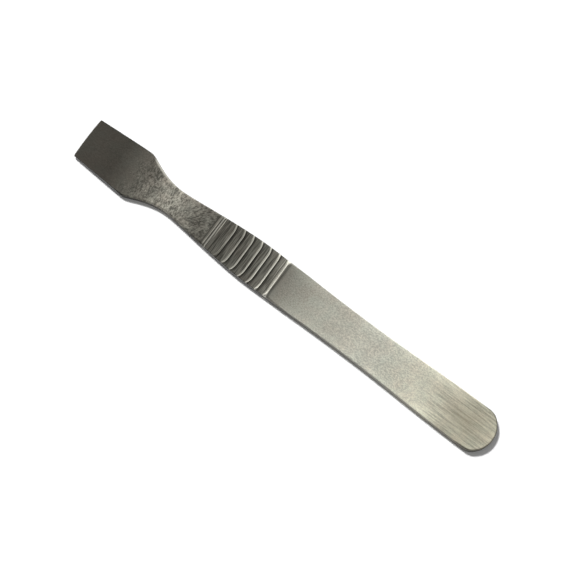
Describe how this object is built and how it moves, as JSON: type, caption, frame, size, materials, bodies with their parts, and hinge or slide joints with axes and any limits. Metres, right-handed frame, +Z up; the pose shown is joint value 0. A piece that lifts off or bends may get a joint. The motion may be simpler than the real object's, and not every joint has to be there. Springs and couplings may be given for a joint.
{
  "type": "spudger tool",
  "caption": "Slim steel spudger with a flat ground scraping blade, narrow neck, ribbed finger grip and flat round-ended handle, for prying and scraping in electronics repair.",
  "frame": {"origin": "middle of the tool in plan, on the surface that it lies on", "axes": "+X along the tool from the blade towards the round end of the handle, +Y across it, +Z up out of its flat face"},
  "size_m": [0.12, 0.0128, 0.0022],
  "materials": {
    "stainless_steel": "satin brushed handle, darker ground blade, forged and pitted neck"
  },
  "bodies": {
    "root": {"steel_spudger": "stainless_steel"}
  },
  "joints": []
}
